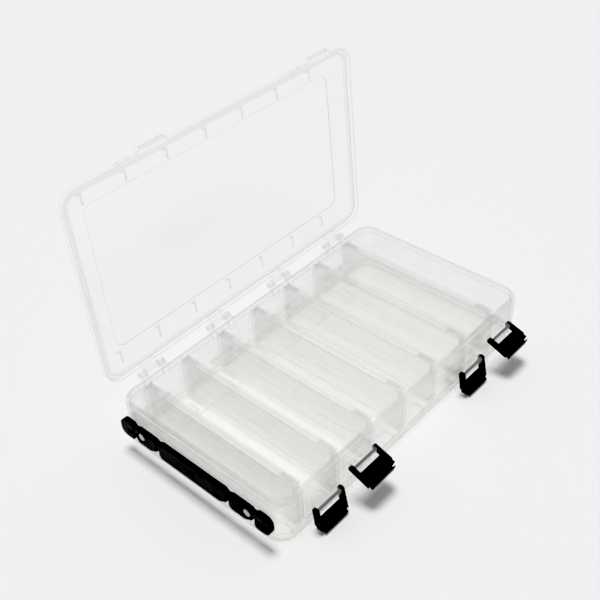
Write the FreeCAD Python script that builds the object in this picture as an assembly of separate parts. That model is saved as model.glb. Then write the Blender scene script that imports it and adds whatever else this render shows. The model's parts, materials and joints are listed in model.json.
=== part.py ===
import FreeCAD, Part
import os

# Double-sided tackle box, all sizes in millimetres.
# X runs along the box (handle at -X), Y from the latches (-Y) to the hinges (+Y), Z up.
# The origin is the centre of the underside. The top lid and the two latches that close it
# stand open; the bottom lid is closed, with its two latches hanging beside it.

# driving dimensions
BOX_LENGTH = 270.0
BOX_DEPTH = 152.0
BOX_HEIGHT = 45.0
CORNER_RADIUS = 13.0
LID_HEIGHT = 5.5
GAP = 0.3                      # between parts that move past each other
OVERRUN = 1.0                  # how far a cutting shape runs past the face it cuts
STEEP = 0.9                    # an edge counts as lying along an axis above this cosine

WALL = 2.0
FLOOR_THICKNESS = 1.5
TONGUE_INSET = 1.7
TONGUE_THICKNESS = 1.5
TONGUE_HEIGHT = 3.0
RIM_BAND = 3.0                 # how far the thick rim runs down the inside of the wall

DIVIDER_COUNT = 7
DIVIDER_PITCH = 35.7
FIRST_DIVIDER_X = -113.3
DIVIDER_WIDTH = 6.5
DIVIDER_SKIN = 1.1
DIVIDER_DROP = 0.5             # flat top below the tongue's edge
DIVIDER_FRONT_INSET = 6.2
DIVIDER_BACK_INSET = 5.4
SLOT_COUNT = 3
SLOT_PITCH = 1.7
SLOT_WIDTH = 0.9
SLOT_LENGTH = 10.0
SLOT_END_MARGIN = 2.6

LID_PLATE = 1.6
SKIRT_THICKNESS = 1.4
LIP_INSET = 3.7
LIP_THICKNESS = 1.1
LIP_HEIGHT = 1.9
PANEL_X = (-118.5, 111.5)
PANEL_Y = (-59.3, 53.0)
PANEL_RADIUS = 7.0
PANEL_HEIGHT = 0.4             # raised field in the middle of each lid's outer face
MARK_COUNT = 7
FIRST_MARK_X = -117.8
MARK_PITCH = 35.0
MARK_WIDTH = 0.9
MARK_HEIGHT = 1.0
MARK_FOOT = 3.4
FRONT_MARK_Y = (-70.0, -62.0)
BACK_MARK_Y = (54.5, 64.5)

HINGE_OFFSET = 5.5             # axis behind the back wall
HINGE_X = (-99.0, -33.0, 33.0, 99.0)
BARREL_RADIUS = 2.6
ARM_LENGTH = 12.0
LUG_LENGTH = 5.0
LUG_DROP = 9.0                 # gusset's foot below the seam
ARM_TOP_DROP = 0.8             # arm's root below the top of the lid
HINGE_PIN_RADIUS = 1.0
RUNNING_FIT = 0.05
TOP_LID_OPEN = 93.5            # degrees from closed

LATCH_PAIR_X = (-78.0, 82.4)
LATCH_SPACING = 36.3
LATCH_WIDTH = 26.4
LATCH_CHEEK = 2.0
LATCH_PIVOT_OUT = 4.6          # pivot in front of the wall
LATCH_PIVOT_HEIGHT = 18.5      # lower pivots above the underside
AXLE_RADIUS = 1.0
LATCH_LENGTH = 17.6            # pivot to the tip of the thumb lip
CHEEK_TIP_RADIUS = 3.0
LATCH_REAR = 2.4
LATCH_FRONT = 2.4
LATCH_FRONT_LOW = 3.2
WINDOW_END = 4.7
PLATE_THICKNESS = 1.7
PLATE_END = 15.2
CHEEK_STEP = 1.0               # cheeks step back over the lid's catch
LIP_SIDE_STEP = 2.2
LIP_THICKNESS_AT_TIP = 1.3
LIP_HOOK = 0.9                 # inner edge that snaps under the ridge
LIP_ROOT = 1.2
THUMB_REACH = 4.6
LATCH_OPEN = 108.0             # degrees from snapped shut
LATCH_AJAR = 8.0
CLIP_RADIUS = 2.2
CLIP_MOUTH = 1.5               # narrower than the axle, which snaps through it

CATCH_WIDTH = 25.0
CATCH_REACH = 3.2
CATCH_CORNER = 1.0
RIDGE_WIDTH = 20.0
RIDGE_REACH = 4.0
RIDGE_HEIGHT = 0.9
RIDGE_BELOW_TOP = 2.0
RIDGE_SLOPE = 0.8
RIDGE_BEVEL = 0.2
NUB_WIDTH = 8.0
NUB_REACH = 1.3
NUB_OFFSET = 12.0              # finger nub beside the other lid's latch
NUB_TOP_DROP = 0.6
NUB_FACE_DROP = 1.6

STRAP_GAP = 0.6
STRAP_THICKNESS = 4.2
GRIP_HALF = 31.8
INNER_NECK_Y = 33.0
OUTER_NECK_Y = 56.0
NECK_HALF = 1.2
NECK_THICKNESS = 1.3
NECK_BELOW = 2.8               # reach of a neck below and above the strap's middle
NECK_ABOVE = 5.0
NECK_ROOT = 1.0                # length of a neck inside its pad
STRAP_END_Y = 70.5
GRIP_HEIGHT = 14.0
LOBE_HEIGHT = 13.2
CAP_HEIGHT = 14.6
STRAP_ROUNDING = 2.6
CAP_ROUNDING = 5.5
PAD_CUT_RUN = 6.5
PAD_CUT_RISE = 3.6
PAD_BACK_CUT = 2.2
PEG_Y = 50.0
KEYHOLE_RADIUS = 3.9
KEYHOLE_SLOT = 2.2
SLOT_END_Y = 63.5
PEG_STEM_RADIUS = 0.9
PEG_HEAD_RADIUS = 2.9
PEG_LENGTH = 4.2
PEG_HEAD_THICKNESS = 1.2

# derived places
MIDDLE_Z = BOX_HEIGHT / 2
FRONT_Y = -BOX_DEPTH / 2
BACK_Y = BOX_DEPTH / 2
LEFT_X = -BOX_LENGTH / 2
SEAM_LOW = LID_HEIGHT
SEAM_HIGH = BOX_HEIGHT - LID_HEIGHT
HINGE_Y = BACK_Y + HINGE_OFFSET
TONGUE_TOP = SEAM_HIGH + TONGUE_HEIGHT
TONGUE_INNER = TONGUE_INSET + TONGUE_THICKNESS
FLOOR_TOP = MIDDLE_Z + FLOOR_THICKNESS / 2
LID_UNDER = BOX_HEIGHT - LID_PLATE
LID_TOP = BOX_HEIGHT - PANEL_HEIGHT
UP = FreeCAD.Vector(0, 0, 1)
ALONG = FreeCAD.Vector(1, 0, 0)
MIDDLE = FreeCAD.Vector(0, 0, MIDDLE_Z)


def block(x_span, y_span, z_span):
    corner = FreeCAD.Vector(x_span[0], y_span[0], z_span[0])
    return Part.makeBox(x_span[1] - x_span[0], y_span[1] - y_span[0], z_span[1] - z_span[0], corner)


def edges_along(shape, direction):
    """Straight edges that lie along a direction."""
    return [edge for edge in shape.Edges
            if abs(edge.tangentAt(edge.FirstParameter).dot(direction)) > STEEP]


def rounded_slab(x_span, y_span, z_span, radius):
    """Upright prism over a rectangle with rounded corners."""
    slab = block(x_span, y_span, z_span)
    return slab.makeFillet(radius, edges_along(slab, UP))


def box_slab(inset, z_span):
    """Rounded slab that follows the outline of the box, this far inside it."""
    half_length = BOX_LENGTH / 2 - inset
    half_depth = BOX_DEPTH / 2 - inset
    return rounded_slab((-half_length, half_length), (-half_depth, half_depth), z_span,
                        CORNER_RADIUS - inset)


def ring(inset, thickness, z_span):
    return box_slab(inset, z_span).cut(box_slab(inset + thickness, z_span))


def side_profile(points, x_span):
    """Prism along X over a polygon of (y, z) points."""
    corners = [FreeCAD.Vector(x_span[0], y, z) for y, z in points]
    face = Part.Face(Part.makePolygon(corners + corners[:1]))
    return face.extrude(FreeCAD.Vector(x_span[1] - x_span[0], 0, 0))


def rod(x_span, y, z, radius):
    return Part.makeCylinder(radius, x_span[1] - x_span[0], FreeCAD.Vector(x_span[0], y, z), ALONG)


def centred(middle, width):
    return (middle - width / 2, middle + width / 2)


def fuse(shapes):
    shapes = list(shapes)
    return shapes[0].fuse(shapes[1:]).removeSplitter() if len(shapes) > 1 else shapes[0]


def upside_down(shape):
    return shape.mirror(MIDDLE, UP)


def turned(shape, y, z, degrees):
    """Copy of a shape turned about a line along X through (y, z)."""
    copy = shape.copy()
    copy.rotate(FreeCAD.Vector(0, y, z), ALONG, degrees)
    return copy


def save(name, shapes):
    shape = shapes[0] if len(shapes) == 1 else Part.makeCompound(shapes)
    for solid in shape.Solids:
        assert solid.isValid() and solid.isClosed(), name
    shape.exportStep("parts/" + name + ".step")
    print(name, len(shape.Solids), round(shape.Volume, 1))


# tray

def tray_walls():
    wall = ring(0.0, WALL, (SEAM_LOW, SEAM_HIGH))
    high_rim = ring(TONGUE_INSET, TONGUE_THICKNESS, (SEAM_HIGH - RIM_BAND, TONGUE_TOP))
    return fuse([wall, high_rim, upside_down(high_rim)])


def tray_floor():
    return box_slab(WALL, (MIDDLE_Z - FLOOR_THICKNESS / 2, FLOOR_TOP))


def divider(x):
    """Hollow rib with a slotted flat top, notched at both ends for the lid's inner lip."""
    top = TONGUE_TOP - DIVIDER_DROP
    notch = SEAM_HIGH - RIM_BAND
    y_span = (FRONT_Y + WALL, BACK_Y - WALL)
    flat_y = (FRONT_Y + DIVIDER_FRONT_INSET, BACK_Y - DIVIDER_BACK_INSET)
    body = fuse([block(centred(x, DIVIDER_WIDTH), y_span, (FLOOR_TOP, notch)),
                 block(centred(x, DIVIDER_WIDTH), flat_y, (FLOOR_TOP, top))])
    hollow_width = DIVIDER_WIDTH - 2 * DIVIDER_SKIN
    low_y = (y_span[0] + DIVIDER_SKIN, y_span[1] - DIVIDER_SKIN)
    high_y = (flat_y[0] + DIVIDER_SKIN, flat_y[1] - DIVIDER_SKIN)
    hollow = fuse([block(centred(x, hollow_width), low_y, (FLOOR_TOP, notch - DIVIDER_SKIN)),
                   block(centred(x, hollow_width), high_y, (FLOOR_TOP, top - DIVIDER_SKIN))])
    body = body.cut(hollow)
    front_slot = (flat_y[0] + SLOT_END_MARGIN, flat_y[0] + SLOT_END_MARGIN + SLOT_LENGTH)
    back_slot = (flat_y[1] - SLOT_END_MARGIN - SLOT_LENGTH, flat_y[1] - SLOT_END_MARGIN)
    for number in range(SLOT_COUNT):
        slot_x = x + (number - (SLOT_COUNT - 1) / 2) * SLOT_PITCH
        for slot_y in (front_slot, back_slot):
            cutter = block(centred(slot_x, SLOT_WIDTH), slot_y, (top - 2 * DIVIDER_SKIN, top + OVERRUN))
            body = body.cut(cutter)
    return body


def divider_row():
    return [divider(FIRST_DIVIDER_X + number * DIVIDER_PITCH) for number in range(DIVIDER_COUNT)]


# hinges, drawn for the top lid; the bottom ones are their mirror images

def hinge_lugs():
    """Tray side of the hinge: two gussets with barrels at each station."""
    lugs = []
    for x in HINGE_X:
        for side in (-1, 1):
            middle = x + side * (ARM_LENGTH / 2 + GAP + LUG_LENGTH / 2)
            span = centred(middle, LUG_LENGTH)
            web = side_profile([(BACK_Y, SEAM_HIGH - LUG_DROP), (BACK_Y, SEAM_HIGH - GAP),
                                (HINGE_Y, SEAM_HIGH - GAP), (HINGE_Y, SEAM_HIGH - BARREL_RADIUS)], span)
            lug = web.fuse(rod(span, HINGE_Y, SEAM_HIGH, BARREL_RADIUS)).removeSplitter()
            lugs.append(lug.cut(rod(span, HINGE_Y, SEAM_HIGH, HINGE_PIN_RADIUS)))
    return lugs


def hinge_arms():
    """Lid side of the hinge: one arm at each station, drawn with the lid closed."""
    arms = []
    for x in HINGE_X:
        span = centred(x, ARM_LENGTH)
        web = side_profile([(BACK_Y, SEAM_HIGH + GAP), (BACK_Y, BOX_HEIGHT - ARM_TOP_DROP),
                            (HINGE_Y, SEAM_HIGH + BARREL_RADIUS), (HINGE_Y, SEAM_HIGH + GAP)], span)
        arm = web.fuse(rod(span, HINGE_Y, SEAM_HIGH, BARREL_RADIUS)).removeSplitter()
        arms.append(arm.cut(rod(span, HINGE_Y, SEAM_HIGH, HINGE_PIN_RADIUS + RUNNING_FIT)))
    return arms


def hinge_pins():
    length = ARM_LENGTH + 2 * (GAP + LUG_LENGTH)
    return [rod(centred(x, length), HINGE_Y, SEAM_HIGH, HINGE_PIN_RADIUS) for x in HINGE_X]


# lids, drawn for the top lid when closed

def mark(x, y_span, foot_y):
    """Small L-shaped locating rib under the lid."""
    z_span = (LID_UNDER - MARK_HEIGHT, LID_UNDER)
    leg = block((x - MARK_WIDTH, x), y_span, z_span)
    foot = block((x - MARK_FOOT, x), (foot_y, foot_y + MARK_WIDTH), z_span)
    return leg.fuse(foot)


def lid():
    plate = box_slab(0.0, (LID_UNDER, LID_TOP))
    panel = rounded_slab(PANEL_X, PANEL_Y, (LID_TOP, BOX_HEIGHT), PANEL_RADIUS)
    skirt = ring(0.0, SKIRT_THICKNESS, (SEAM_HIGH + GAP, LID_UNDER))
    lip = ring(LIP_INSET, LIP_THICKNESS, (LID_UNDER - LIP_HEIGHT, LID_UNDER))
    marks = []
    for number in range(MARK_COUNT):
        x = FIRST_MARK_X + number * MARK_PITCH
        marks.append(mark(x, FRONT_MARK_Y, FRONT_MARK_Y[0]))
        marks.append(mark(x, BACK_MARK_Y, BACK_MARK_Y[0]))
    return fuse([plate, panel, skirt, lip] + marks)


def catch(x):
    """Tab on the lid's front edge, with the ridge that the latch hooks over."""
    z_span = (SEAM_HIGH + GAP, LID_TOP)
    face_y = FRONT_Y - CATCH_REACH
    tab = block(centred(x, CATCH_WIDTH), (face_y, FRONT_Y), z_span)
    upright = edges_along(tab, UP)
    tab = tab.makeFillet(CATCH_CORNER, [edge for edge in upright if edge.CenterOfMass.y < FRONT_Y - GAP])
    ridge_y = FRONT_Y - RIDGE_REACH
    ridge_top = BOX_HEIGHT - RIDGE_BELOW_TOP
    ridge_foot = ridge_top - RIDGE_HEIGHT
    ridge = side_profile([(face_y, ridge_foot - RIDGE_SLOPE), (ridge_y, ridge_foot),
                          (ridge_y, ridge_top - RIDGE_BEVEL), (face_y, ridge_top)],
                         centred(x, RIDGE_WIDTH))
    return tab.fuse(ridge).removeSplitter()


def nub(x):
    span = (x, x + NUB_WIDTH)
    return side_profile([(FRONT_Y, SEAM_HIGH + GAP), (FRONT_Y, BOX_HEIGHT - NUB_TOP_DROP),
                         (FRONT_Y - NUB_REACH, BOX_HEIGHT - NUB_FACE_DROP),
                         (FRONT_Y - NUB_REACH, SEAM_HIGH + GAP)], span)


def catches(catch_xs, nub_xs):
    return [catch(x) for x in catch_xs] + [nub(x) for x in nub_xs]


# latches, drawn as the lower ones when snapped shut: pivot at the top, thumb lip at the bottom

def latch(x):
    """Hollow-backed lever with two cheeks, an axle between them, a window and a stepped thumb lip."""
    y = FRONT_Y - LATCH_PIVOT_OUT
    z = LATCH_PIVOT_HEIGHT
    half = LATCH_WIDTH / 2
    rear = y + LATCH_REAR
    relief = FRONT_Y - CATCH_REACH - GAP
    front = y - LATCH_FRONT
    front_low = y - LATCH_FRONT_LOW
    plate_end = z - PLATE_END
    step_top = SEAM_LOW + CHEEK_STEP
    cheek_outline = [(rear, z), (rear, step_top), (relief, step_top - CHEEK_STEP), (relief, plate_end),
                     (front_low, plate_end), (front, z)]
    cheeks = []
    for span in ((x - half, x - half + LATCH_CHEEK), (x + half - LATCH_CHEEK, x + half)):
        end = rod(span, y, z, CHEEK_TIP_RADIUS)
        trim = block(span, (front, rear), (z - CHEEK_TIP_RADIUS, z + CHEEK_TIP_RADIUS))
        cheeks.append(side_profile(cheek_outline, span).fuse(end.common(trim)))
    inside = (x - half + LATCH_CHEEK, x + half - LATCH_CHEEK)
    axle = rod((x - half, x + half), y, z, AXLE_RADIUS)
    slope = (LATCH_FRONT_LOW - LATCH_FRONT) / PLATE_END
    plate_top = z - WINDOW_END
    face_top = front - slope * WINDOW_END
    plate = side_profile([(face_top, plate_top), (face_top + PLATE_THICKNESS, plate_top),
                          (front_low + PLATE_THICKNESS, plate_end), (front_low, plate_end)], inside)
    tip = z - LATCH_LENGTH
    root = plate_end + LIP_ROOT
    hook = tip + LIP_HOOK
    thumb = side_profile([(front_low + PLATE_THICKNESS, root), (front_low + PLATE_THICKNESS, hook),
                          (relief, hook), (relief, tip), (y - THUMB_REACH, tip),
                          (y - THUMB_REACH, tip + LIP_THICKNESS_AT_TIP), (front_low, root)],
                         (x - half + LIP_SIDE_STEP, x + half - LIP_SIDE_STEP))
    return fuse(cheeks + [axle, plate, thumb])


def latch_clip(x):
    """Knuckle on the front wall, between a latch's cheeks, with a mouth for the latch's axle."""
    y = FRONT_Y - LATCH_PIVOT_OUT
    z = LATCH_PIVOT_HEIGHT
    span = centred(x, LATCH_WIDTH - 2 * (LATCH_CHEEK + GAP))
    web = block(span, (y, FRONT_Y), (z - CLIP_RADIUS, z + CLIP_RADIUS))
    knuckle = web.fuse(rod(span, y, z, CLIP_RADIUS)).removeSplitter()
    through = (span[0] - OVERRUN, span[1] + OVERRUN)
    bore = rod(through, y, z, AXLE_RADIUS + RUNNING_FIT)
    mouth = block(through, (y - CLIP_RADIUS - OVERRUN, y), centred(z, CLIP_MOUTH))
    return knuckle.cut(bore.fuse(mouth))


# strap handle on the left end wall

STRAP_X = (LEFT_X - STRAP_GAP - STRAP_THICKNESS, LEFT_X - STRAP_GAP)
NECK_X = (LEFT_X - STRAP_GAP - NECK_THICKNESS, LEFT_X - STRAP_GAP)


def pad(y_span, height, radius):
    """Flat pad of the strap: upper corners rounded, lower corners cut off, more at the front."""
    front, back = y_span
    low, high = centred(MIDDLE_Z, height)
    slab = side_profile([(front, high), (front, low + PAD_CUT_RISE), (front + PAD_CUT_RUN, low),
                         (back - PAD_BACK_CUT, low), (back, low + PAD_BACK_CUT), (back, high)], STRAP_X)
    upper = [edge for edge in edges_along(slab, ALONG) if edge.CenterOfMass.z > high - GAP]
    return slab.makeFillet(radius, upper)


def neck(y_span):
    return block(NECK_X, y_span, (MIDDLE_Z - NECK_BELOW, MIDDLE_Z + NECK_ABOVE))


def mirrored_span(side, start, end):
    """Y span from start to end on one side of the box's middle."""
    return sorted((side * start, side * end))


def keyhole(side):
    """Round hole over the peg, and the slot that runs from it towards the strap's end."""
    x_span = (STRAP_X[0] - OVERRUN, STRAP_X[1] + OVERRUN)
    hole = rod(x_span, side * PEG_Y, MIDDLE_Z, KEYHOLE_RADIUS)
    slot = block(x_span, mirrored_span(side, PEG_Y, SLOT_END_Y), centred(MIDDLE_Z, KEYHOLE_SLOT))
    return hole.fuse(slot)


def grip():
    body = pad((-GRIP_HALF, GRIP_HALF), GRIP_HEIGHT, STRAP_ROUNDING)
    reach = INNER_NECK_Y + NECK_HALF - 2 * GAP
    necks = [neck(mirrored_span(side, GRIP_HALF - NECK_ROOT, reach)) for side in (-1, 1)]
    return fuse([body] + necks)


def lobe(side):
    y_span = mirrored_span(side, INNER_NECK_Y + NECK_HALF, OUTER_NECK_Y - NECK_HALF)
    return pad(y_span, LOBE_HEIGHT, STRAP_ROUNDING).cut(keyhole(side))


def cap(side):
    """End pad with its neck; its outer end is rounder than the end at the neck."""
    start = OUTER_NECK_Y + NECK_HALF
    slab = block(STRAP_X, mirrored_span(side, start, STRAP_END_Y), centred(MIDDLE_Z, CAP_HEIGHT))
    across = edges_along(slab, ALONG)
    slab = slab.makeFillet(CAP_ROUNDING, [edge for edge in across
                                          if abs(edge.CenterOfMass.y) > start + GAP])
    across = edges_along(slab, ALONG)
    body = slab.makeFillet(STRAP_ROUNDING, [edge for edge in across
                                            if abs(edge.CenterOfMass.y) < start + GAP])
    reach = OUTER_NECK_Y - NECK_HALF + 2 * GAP
    return fuse([body, neck(mirrored_span(side, reach, start + NECK_ROOT))]).cut(keyhole(side))


def peg(side):
    """Peg with a flat head; the strap's keyhole hangs on it."""
    stem = rod((LEFT_X - PEG_LENGTH, LEFT_X), side * PEG_Y, MIDDLE_Z, PEG_STEM_RADIUS)
    head = rod((LEFT_X - PEG_LENGTH, LEFT_X - PEG_LENGTH + PEG_HEAD_THICKNESS), side * PEG_Y, MIDDLE_Z,
               PEG_HEAD_RADIUS)
    return stem.fuse(head).removeSplitter()


def opened(shapes):
    return [turned(shape, HINGE_Y, SEAM_HIGH, -TOP_LID_OPEN) for shape in shapes]


def main():
    os.makedirs("parts", exist_ok=True)
    save("tray_walls", [tray_walls()])
    save("tray_floor", [tray_floor()])
    upper = divider_row()
    save("upper_dividers", upper)
    save("lower_dividers", [upside_down(shape) for shape in upper])

    lugs = hinge_lugs()
    arms = hinge_arms()
    pins = hinge_pins()
    save("upper_hinge_lugs", lugs)
    save("lower_hinge_lugs", [upside_down(shape) for shape in lugs])
    save("upper_hinge_pins", pins)
    save("lower_hinge_pins", [upside_down(shape) for shape in pins])

    lower_latch_xs = [x - LATCH_SPACING / 2 for x in LATCH_PAIR_X]
    upper_latch_xs = [x + LATCH_SPACING / 2 for x in LATCH_PAIR_X]
    top_nub_xs = [x + NUB_OFFSET - NUB_WIDTH / 2 for x in lower_latch_xs]
    bottom_nub_xs = [x - NUB_OFFSET - NUB_WIDTH / 2 for x in upper_latch_xs]
    closed_lid = lid()
    save("top_lid", opened([closed_lid]))
    save("top_lid_hinge_arms", opened(arms))
    save("top_lid_catches", opened(catches(upper_latch_xs, top_nub_xs)))
    save("bottom_lid", [upside_down(closed_lid)])
    save("bottom_lid_hinge_arms", [upside_down(shape) for shape in arms])
    bottom_catches = catches(lower_latch_xs, bottom_nub_xs)
    save("bottom_lid_catches", [upside_down(shape) for shape in bottom_catches])

    pivot_y = FRONT_Y - LATCH_PIVOT_OUT
    clips = []
    for x, side in zip(lower_latch_xs, ("left", "right")):
        save("lower_latch_" + side, [turned(latch(x), pivot_y, LATCH_PIVOT_HEIGHT, -LATCH_AJAR)])
        clips.append(latch_clip(x))
    for x, side in zip(upper_latch_xs, ("left", "right")):
        shut = upside_down(latch(x))
        open_latch = turned(shut, pivot_y, BOX_HEIGHT - LATCH_PIVOT_HEIGHT, LATCH_OPEN)
        save("upper_latch_" + side, [open_latch])
        clips.append(upside_down(latch_clip(x)))
    save("latch_clips", clips)

    save("handle_grip", [grip()])
    for side, place in ((-1, "front"), (1, "rear")):
        save("handle_lobe_" + place, [lobe(side)])
        save("handle_cap_" + place, [cap(side)])
    save("handle_pegs", [peg(-1), peg(1)])


main()
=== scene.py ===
import json
import math

import bmesh
import bpy
from mathutils import Euler, Matrix, Vector

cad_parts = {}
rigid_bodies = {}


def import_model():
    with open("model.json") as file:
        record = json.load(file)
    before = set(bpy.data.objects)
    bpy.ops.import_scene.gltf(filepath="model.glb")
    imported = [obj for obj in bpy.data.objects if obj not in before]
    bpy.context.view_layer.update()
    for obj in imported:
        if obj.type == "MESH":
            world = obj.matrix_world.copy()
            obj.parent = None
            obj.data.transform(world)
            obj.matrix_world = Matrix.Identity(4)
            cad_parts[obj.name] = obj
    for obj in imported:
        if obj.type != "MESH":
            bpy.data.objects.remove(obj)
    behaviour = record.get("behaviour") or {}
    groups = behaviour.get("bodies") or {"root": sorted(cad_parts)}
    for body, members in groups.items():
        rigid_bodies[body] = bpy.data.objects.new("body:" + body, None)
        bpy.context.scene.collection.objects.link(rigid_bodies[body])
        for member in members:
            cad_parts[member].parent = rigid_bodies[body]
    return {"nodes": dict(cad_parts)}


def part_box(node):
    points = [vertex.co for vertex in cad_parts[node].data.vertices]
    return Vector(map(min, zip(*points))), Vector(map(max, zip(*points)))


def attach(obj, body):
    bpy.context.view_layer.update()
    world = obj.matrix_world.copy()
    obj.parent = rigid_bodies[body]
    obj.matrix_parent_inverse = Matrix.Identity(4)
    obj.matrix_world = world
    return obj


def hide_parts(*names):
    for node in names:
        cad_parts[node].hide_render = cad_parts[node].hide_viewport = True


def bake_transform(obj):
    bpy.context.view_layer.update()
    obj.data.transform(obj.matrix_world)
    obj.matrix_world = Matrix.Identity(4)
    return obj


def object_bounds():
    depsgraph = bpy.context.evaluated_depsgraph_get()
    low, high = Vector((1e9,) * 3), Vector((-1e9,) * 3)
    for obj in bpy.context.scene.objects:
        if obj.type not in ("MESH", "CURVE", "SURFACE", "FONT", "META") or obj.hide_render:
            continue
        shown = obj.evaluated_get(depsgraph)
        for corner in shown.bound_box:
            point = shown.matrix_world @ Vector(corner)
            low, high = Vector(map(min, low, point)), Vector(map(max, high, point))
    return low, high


# Looks of the clear double-sided tackle box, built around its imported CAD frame. Metres, Z up.

MM = 0.001

# camera: the photograph's viewpoint
CAMERA_PLACE = Vector((-0.38905, -0.34558, 0.50152))
CAMERA_TURN = Euler([math.radians(angle) for angle in (51.066, 2.382, -48.131)])
CAMERA_LENS = 57.72
SENSOR = 36.0

# how the moulded edges are rounded
MERGE = 0.001 * MM
FLAT_ANGLE = math.radians(0.6)
SHARP_ANGLE = math.radians(35)
CREASE_ANGLE = math.radians(13)
SEGMENTS = 2
FINE_SEGMENTS = 3
PEG_ROUNDING = 0.3 * MM
PIN_ROUNDING = 0.2 * MM
LATCH_ROUNDING = 0.35 * MM
STRAP_ROUNDING = 0.6 * MM

# The wall of the tray and lids is a strip 0.2 mm wide under each hinge arm and catch. A rounding of
# half of that or more runs past itself there and leaves faulty faces.
BOX_ROUNDING = 0.09 * MM

# A rounding of 0.25 mm closed the bores of the clips.
CLIP_ROUNDING = 0.1 * MM

# The top lid stands open by this angle at rest. It is joined and rounded lying level, on coordinates
# with this many decimals of a metre, because joining its parts while tilted leaves open edges.
LID_OPENING = math.radians(93.5)
LEVEL_DIGITS = 6

# webs over the strap's necks; heights are shares of half the strap's height
NECK_LENGTH = 2.4 * MM
WEB_OVERLAP = 0.5 * MM
WEB_SINK = 0.25 * MM
WEB_ROUNDING = 0.5 * MM
WEB_STEPS = 8
WEB_TOP = 0.93
WEB_TOP_DIP = 0.1
WEB_FOOT = -0.25
WEB_FOOT_RISE = 0.3

# A noise below is its scale, per metre, and its detail.

# clear plastic; the powers say how late, towards the view along it, it gets denser and glossier
EVEN_BLEND = 0.5
TINT_POWER = 2.8
GLOSS_POWER = 5.0
GLOSS_SQUARE_ON = 0.038
GLOSS_ALONG = 0.9
GLOSS_COLOUR = (1, 1, 1, 1)
GLOSS_ROUGHNESS = (0.1, 0.2)
GLOSS_NOISE = (60.0, 4.0)
RIPPLE_NOISE = (90.0, 2.0)
RIPPLE_STRENGTH = 0.1
RIPPLE_HEIGHT = 0.02 * MM
HAZE_COLOUR = (0.98, 0.98, 0.975, 1)
HAZE_NOISE = (30.0, 3.0)
HAZE_SHARES = (0.7, 1.3)
LIGHT_THROUGH = (0.99, 0.99, 0.988, 1)
CLEAR_LAYERS = 48

# black plastic
BLACK_DARK = (0.0015, 0.0015, 0.0017, 1)
BLACK_LIGHT = (0.004, 0.004, 0.0045, 1)
BLACK_TONE_NOISE = (420.0, 3.0)
BLACK_ROUGHNESS = (0.42, 0.58)
BLACK_ROUGHNESS_NOISE = (150.0, 4.0)
BLACK_IOR = 1.2
GRAIN_NOISE = (2600.0, 2.0)
GRAIN_STRENGTH = 0.15
GRAIN_HEIGHT = 0.05 * MM

# studio; angles in degrees, the azimuth from +X
KEY_AZIMUTH = 60
KEY_ELEVATION = 84
KEY_SOFTNESS = 20
KEY_STRENGTH = 2.0
KEY_COLOUR = (1.0, 0.995, 0.985)
ROOM_COLOUR = (0.985, 0.99, 1.0, 1)
ROOM_SEEN = 0.88
ROOM_FILL = 0.32
BLACK_LEVEL = 0.03
FLOOR_COLOUR = (0.93, 0.935, 0.94, 1)
FLOOR_ROUGHNESS = 0.9
FLOOR_HALF = 6.0
FLOOR_GAP = 0.05 * MM

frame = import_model()
cad_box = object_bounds()
nodes = frame["nodes"]


# materials

def material(name):
    """Empty node material with its output."""
    made = bpy.data.materials.new(name)
    made.use_nodes = True
    made.node_tree.nodes.clear()
    output = made.node_tree.nodes.new("ShaderNodeOutputMaterial")
    return made, made.node_tree, output


def add(tree, kind, **values):
    """New node with values for its sockets (by name, spaces as _) and properties."""
    node = tree.nodes.new(kind)
    for key, value in values.items():
        socket = node.inputs.get(key.replace("_", " "))
        if socket is not None:
            socket.default_value = value
        else:
            setattr(node, key, value)
    return node


def noise(tree, scale, detail):
    """Noise from 0 to 1, fixed to the piece."""
    coordinates = add(tree, "ShaderNodeTexCoord")
    node = add(tree, "ShaderNodeTexNoise", Scale=scale, Detail=detail)
    tree.links.new(coordinates.outputs["Object"], node.inputs["Vector"])
    return node.outputs["Fac"]


def spread(tree, value, low, high):
    """Maps 0..1 to low..high."""
    node = add(tree, "ShaderNodeMapRange")
    node.inputs["To Min"].default_value = low
    node.inputs["To Max"].default_value = high
    tree.links.new(value, node.inputs["Value"])
    return node.outputs["Result"]


def bump(tree, value, strength, distance):
    node = add(tree, "ShaderNodeBump", Strength=strength, Distance=distance)
    tree.links.new(value, node.inputs["Height"])
    return node.outputs["Normal"]


def grazing(tree, power, normal=None):
    """0 where a surface is seen square on, 1 where it is seen along itself, the same from both sides."""
    facing = add(tree, "ShaderNodeLayerWeight", Blend=EVEN_BLEND)
    if normal is not None:
        tree.links.new(normal, facing.inputs["Normal"])
    steep = add(tree, "ShaderNodeMath", operation="POWER")
    tree.links.new(facing.outputs["Facing"], steep.inputs[0])
    steep.inputs[1].default_value = power
    return steep.outputs[0]


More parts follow.
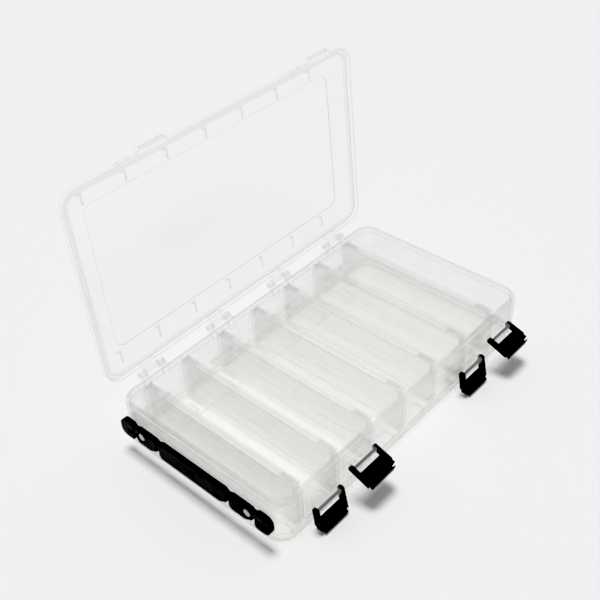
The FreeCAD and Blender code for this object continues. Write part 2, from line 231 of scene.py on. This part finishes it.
def clear_plastic(name, milk, square_on, along):
    """Clear moulded plastic: a see-through skin, denser along itself, with haze and a clean gloss.

    It doesn't bend light, and lets nearly all of the lamp's light through to what is behind it.
    """
    made, tree, output = material(name)
    ripple = bump(tree, noise(tree, *RIPPLE_NOISE), RIPPLE_STRENGTH, RIPPLE_HEIGHT)
    skin = add(tree, "ShaderNodeBsdfTransparent")
    tint = add(tree, "ShaderNodeValToRGB")
    tint.color_ramp.elements[0].color = square_on
    tint.color_ramp.elements[1].color = along
    tree.links.new(grazing(tree, TINT_POWER), tint.inputs["Fac"])
    tree.links.new(tint.outputs["Color"], skin.inputs["Color"])
    haze = add(tree, "ShaderNodeBsdfDiffuse", Color=HAZE_COLOUR)
    hazy = add(tree, "ShaderNodeMixShader")
    least, most = (milk * share for share in HAZE_SHARES)
    tree.links.new(spread(tree, noise(tree, *HAZE_NOISE), least, most), hazy.inputs["Fac"])
    tree.links.new(skin.outputs[0], hazy.inputs[1])
    tree.links.new(haze.outputs[0], hazy.inputs[2])
    gloss = add(tree, "ShaderNodeBsdfGlossy", Color=GLOSS_COLOUR)
    roughness = spread(tree, noise(tree, *GLOSS_NOISE), *GLOSS_ROUGHNESS)
    tree.links.new(roughness, gloss.inputs["Roughness"])
    tree.links.new(ripple, gloss.inputs["Normal"])
    mix = add(tree, "ShaderNodeMixShader")
    steep = grazing(tree, GLOSS_POWER, ripple)
    tree.links.new(spread(tree, steep, GLOSS_SQUARE_ON, GLOSS_ALONG), mix.inputs["Fac"])
    tree.links.new(hazy.outputs[0], mix.inputs[1])
    tree.links.new(gloss.outputs[0], mix.inputs[2])
    lit_through = add(tree, "ShaderNodeBsdfTransparent", Color=LIGHT_THROUGH)
    path = add(tree, "ShaderNodeLightPath")
    shaded = add(tree, "ShaderNodeMixShader")
    tree.links.new(path.outputs["Is Shadow Ray"], shaded.inputs["Fac"])
    tree.links.new(mix.outputs[0], shaded.inputs[1])
    tree.links.new(lit_through.outputs[0], shaded.inputs[2])
    tree.links.new(shaded.outputs[0], output.inputs["Surface"])
    return made


def black_plastic(name):
    """Black moulding with a fine grain."""
    made, tree, output = material(name)
    surface = add(tree, "ShaderNodeBsdfPrincipled", IOR=BLACK_IOR)
    tone = add(tree, "ShaderNodeValToRGB")
    tone.color_ramp.elements[0].color = BLACK_DARK
    tone.color_ramp.elements[1].color = BLACK_LIGHT
    tree.links.new(noise(tree, *BLACK_TONE_NOISE), tone.inputs["Fac"])
    tree.links.new(tone.outputs["Color"], surface.inputs["Base Color"])
    roughness = spread(tree, noise(tree, *BLACK_ROUGHNESS_NOISE), *BLACK_ROUGHNESS)
    tree.links.new(roughness, surface.inputs["Roughness"])
    grain = bump(tree, noise(tree, *GRAIN_NOISE), GRAIN_STRENGTH, GRAIN_HEIGHT)
    tree.links.new(grain, surface.inputs["Normal"])
    tree.links.new(surface.outputs[0], output.inputs["Surface"])
    return made


CLEAR = clear_plastic("clear_plastic", milk=0.06,
                      square_on=(0.999, 0.999, 0.999, 1), along=(0.79, 0.79, 0.775, 1))
LID = clear_plastic("clear_plastic_lid", milk=0.004,
                    square_on=(1.0, 1.0, 0.996, 1), along=(0.93, 0.93, 0.905, 1))
# painted shade: dark see-through faces for the rounded edges of the clear mouldings; they stand in for
# the dark lines that refraction draws along clear plastic edges
CLEAR_EDGE_PAINTED_SHADE = clear_plastic("clear_plastic_edge_painted_shade", milk=0.1,
                           square_on=(0.42, 0.42, 0.416, 1), along=(0.1, 0.1, 0.099, 1))
THICK = clear_plastic("clear_plastic_thick", milk=0.55,
                      square_on=(0.97, 0.97, 0.965, 1), along=(0.86, 0.865, 0.86, 1))
BLACK = black_plastic("black_plastic")


# meshes

def link(name, mesh):
    made = bpy.data.objects.new(name, mesh)
    bpy.context.scene.collection.objects.link(made)
    return made


def turned(angle):
    """Turn about the top lid's hinge."""
    low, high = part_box("upper_hinge_pins")
    pivot = Matrix.Translation((Vector(low) + Vector(high)) / 2)
    return pivot @ Matrix.Rotation(angle, 4, "X") @ pivot.inverted()


def cleaned_copy(name, node, tilt=0.0):
    """New object with a copy of a CAD node's mesh, one vertex per corner, laid level if it is tilted."""
    mesh = nodes[node].data.copy()
    mesh.name = name
    mesh.materials.clear()
    if tilt:
        mesh.transform(turned(tilt))
        for vert in mesh.vertices:
            vert.co = [round(value, LEVEL_DIGITS) for value in vert.co]
    edit = bmesh.new()
    edit.from_mesh(mesh)
    bmesh.ops.remove_doubles(edit, verts=edit.verts, dist=MERGE)
    edit.to_mesh(mesh)
    edit.free()
    return link(name, mesh)


def evaluated_mesh(piece):
    graph = bpy.context.evaluated_depsgraph_get()
    return bpy.data.meshes.new_from_object(piece.evaluated_get(graph))


def united(name, node, others, tilt):
    """One moulding: the union of a CAD node's shape and others'."""
    base = cleaned_copy(name, node, tilt)
    group = bpy.data.collections.new(name + "_parts")
    bpy.context.scene.collection.children.link(group)
    for other in others:
        part = cleaned_copy("part", other, tilt)
        bpy.context.scene.collection.objects.unlink(part)
        group.objects.link(part)
    union = base.modifiers.new("union", "BOOLEAN")
    union.operation = "UNION"
    union.solver = "EXACT"
    union.operand_type = "COLLECTION"
    union.collection = group
    union.use_self = True
    bpy.context.view_layer.update()
    mesh = evaluated_mesh(base)
    base.modifiers.clear()
    base.data = mesh
    for part in list(group.objects):
        bpy.data.objects.remove(part)
    bpy.data.collections.remove(group)
    return base


def drop_specks(mesh):
    """Merges away the edges of next to no length that the rounding leaves."""
    edit = bmesh.new()
    edit.from_mesh(mesh)
    bmesh.ops.dissolve_degenerate(edit, dist=MERGE, edges=edit.edges)
    edit.to_mesh(mesh)
    edit.free()


def round_edges(piece, radius, segments, look, edge_shade_look=None):
    """Merges flat faces, then rounds every sharp edge. If a second material is given, the rounding gets
    it; for clear mouldings that is painted edge shade.
    """
    edit = bmesh.new()
    edit.from_mesh(piece.data)
    bmesh.ops.remove_doubles(edit, verts=edit.verts, dist=MERGE)
    bmesh.ops.dissolve_limit(edit, angle_limit=FLAT_ANGLE, verts=edit.verts, edges=edit.edges)
    edit.to_mesh(piece.data)
    edit.free()
    rounding = piece.modifiers.new("rounding", "BEVEL")
    rounding.width = radius
    rounding.segments = segments
    rounding.limit_method = "ANGLE"
    rounding.angle_limit = SHARP_ANGLE
    rounding.use_clamp_overlap = edge_shade_look is None
    if edge_shade_look:
        piece.data.materials.append(look)
        piece.data.materials.append(edge_shade_look)
        rounding.material = 1
    piece.data = evaluated_mesh(piece)
    piece.modifiers.clear()
    drop_specks(piece.data)
    for face in piece.data.polygons:
        face.use_smooth = True
    piece.data.set_sharp_from_angle(angle=CREASE_ANGLE)


def moulding(name, body, look, replaced, radius, segments=SEGMENTS, tilt=0.0):
    """One moulded piece with rounded edges, made from its CAD nodes and shown in place of them."""
    if len(replaced) > 1:
        piece = united(name, replaced[0], replaced[1:], tilt)
    else:
        piece = cleaned_copy(name, replaced[0], tilt)
    piece.data.materials.clear()
    # the roundings of clear mouldings get the material with painted edge shade
    round_edges(piece, radius, segments, look, CLEAR_EDGE_PAINTED_SHADE if look in (CLEAR, LID) else None)
    if tilt:
        piece.data.transform(turned(-tilt))
    if not piece.data.materials:
        piece.data.materials.append(look)
    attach(piece, body)
    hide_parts(*replaced)


# the box

moulding("tray_moulding", "tray", CLEAR,
         ["tray_walls", "tray_floor", "upper_dividers", "lower_dividers", "upper_hinge_lugs",
          "lower_hinge_lugs"], BOX_ROUNDING)
moulding("latch_clips_moulding", "tray", CLEAR, ["latch_clips"], CLIP_ROUNDING)
moulding("handle_pegs_moulding", "tray", THICK, ["handle_pegs"], PEG_ROUNDING)
for lid, tilt in (("top_lid", LID_OPENING), ("bottom_lid", 0.0)):
    moulding(lid + "_moulding", lid, LID,
             [lid, lid + "_hinge_arms", lid + "_catches"], BOX_ROUNDING, tilt=tilt)
for row in ("lower", "upper"):
    moulding(row + "_hinge_pins_moulding", "tray", CLEAR,
             [row + "_hinge_pins"], PIN_ROUNDING)
    for side in ("left", "right"):
        latch = row + "_latch_" + side
        moulding(latch + "_moulding", latch, BLACK, [latch], LATCH_ROUNDING, FINE_SEGMENTS)
for part in ("grip", "lobe_front", "lobe_rear", "cap_front", "cap_rear"):
    node = "handle_" + part
    moulding(node + "_moulding", node, BLACK, [node], STRAP_ROUNDING, FINE_SEGMENTS)


def strap_web(name, near_y, far_y):
    """Full-thickness web over one of the strap's necks, open below and lower in its middle."""
    low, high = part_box("handle_lobe_rear")
    middle, half = (low.z + high.z) / 2, (high.z - low.z) / 2
    start = near_y + math.copysign(WEB_OVERLAP, near_y - far_y)
    end = far_y + math.copysign(WEB_OVERLAP, far_y - near_y)
    edit = bmesh.new()
    rings = []
    for step in range(WEB_STEPS + 1):
        along = step / WEB_STEPS
        dip = math.sin(math.pi * along)
        y = start + (end - start) * along
        top = middle + half * (WEB_TOP - WEB_TOP_DIP * dip)
        foot = middle + half * (WEB_FOOT + WEB_FOOT_RISE * dip)
        corners = ((low.x + WEB_SINK, foot), (high.x - WEB_SINK, foot), (high.x - WEB_SINK, top),
                   (low.x + WEB_SINK, top))
        rings.append([edit.verts.new((x, y, z)) for x, z in corners])
    edit.faces.new(rings[0])
    edit.faces.new(rings[-1])
    for ring, after in zip(rings, rings[1:]):
        for corner in range(4):
            other = (corner + 1) % 4
            edit.faces.new((ring[corner], ring[other], after[other], after[corner]))
    bmesh.ops.recalc_face_normals(edit, faces=edit.faces)
    mesh = bpy.data.meshes.new(name)
    edit.to_mesh(mesh)
    edit.free()
    piece = link(name, mesh)
    round_edges(piece, WEB_ROUNDING, FINE_SEGMENTS, BLACK)
    piece.data.materials.append(BLACK)
    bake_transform(piece)


for end, side in (("front", -1), ("rear", 1)):
    lobe = "handle_lobe_" + end
    near, far = sorted((corner.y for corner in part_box(lobe)), key=abs)
    strap_web("strap_web_inner_" + end, near - side * NECK_LENGTH, near)
    strap_web("strap_web_outer_" + end, far, far + side * NECK_LENGTH)


# stage, light and camera

def key_lamp():
    """Soft far lamp, kept out of mirror reflections, where it would burn out every flat clear face."""
    lamp = bpy.data.lights.new("key", "SUN")
    lamp.angle = math.radians(KEY_SOFTNESS)
    lamp.energy = KEY_STRENGTH
    lamp.color = KEY_COLOUR
    made = link("key", lamp)
    made.visible_glossy = False
    around, up = math.radians(KEY_AZIMUTH), math.radians(KEY_ELEVATION)
    to_lamp = Vector((math.cos(around) * math.cos(up), math.sin(around) * math.cos(up), math.sin(up)))
    made.rotation_mode = "QUATERNION"
    made.rotation_quaternion = (-to_lamp).to_track_quat("-Z", "Y")


def floor():
    """Wide plain floor just under the box."""
    mesh = bpy.data.meshes.new("floor")
    corners = [(x * FLOOR_HALF, y * FLOOR_HALF, 0) for x, y in ((-1, -1), (1, -1), (1, 1), (-1, 1))]
    mesh.from_pydata(corners, [], [(0, 1, 2, 3)])
    made, tree, output = material("floor_paint")
    surface = add(tree, "ShaderNodeBsdfPrincipled", Base_Color=FLOOR_COLOUR, Roughness=FLOOR_ROUGHNESS)
    tree.links.new(surface.outputs[0], output.inputs["Surface"])
    piece = link("floor", mesh)
    piece.data.materials.append(made)
    piece.location.z = cad_box[0].z - FLOOR_GAP


floor()
key_lamp()

# Seen directly or in a reflection, the room is brighter than the light it throws.
world = bpy.data.worlds.new("studio")
bpy.context.scene.world = world
world.use_nodes = True
room = world.node_tree
walls = room.nodes["Background"]
walls.inputs["Color"].default_value = ROOM_COLOUR
walls.inputs["Strength"].default_value = ROOM_SEEN
fill = add(room, "ShaderNodeBackground", Color=ROOM_COLOUR, Strength=ROOM_FILL)
kind = add(room, "ShaderNodeLightPath")
either = add(room, "ShaderNodeMixShader")
room.links.new(kind.outputs["Is Diffuse Ray"], either.inputs["Fac"])
room.links.new(walls.outputs[0], either.inputs[1])
room.links.new(fill.outputs[0], either.inputs[2])
room.links.new(either.outputs[0], room.nodes["World Output"].inputs["Surface"])
view = bpy.context.scene.view_settings
view.view_transform = "Standard"
view.use_curve_mapping = True
view.curve_mapping.black_level = (BLACK_LEVEL,) * 3
view.curve_mapping.update()
bpy.context.scene.cycles.transparent_max_bounces = CLEAR_LAYERS

camera_data = bpy.data.cameras.new("camera")
camera_data.lens = CAMERA_LENS
camera_data.sensor_width = SENSOR
camera = link("camera", camera_data)
camera.location = CAMERA_PLACE
camera.rotation_euler = CAMERA_TURN
bpy.context.scene.camera = camera
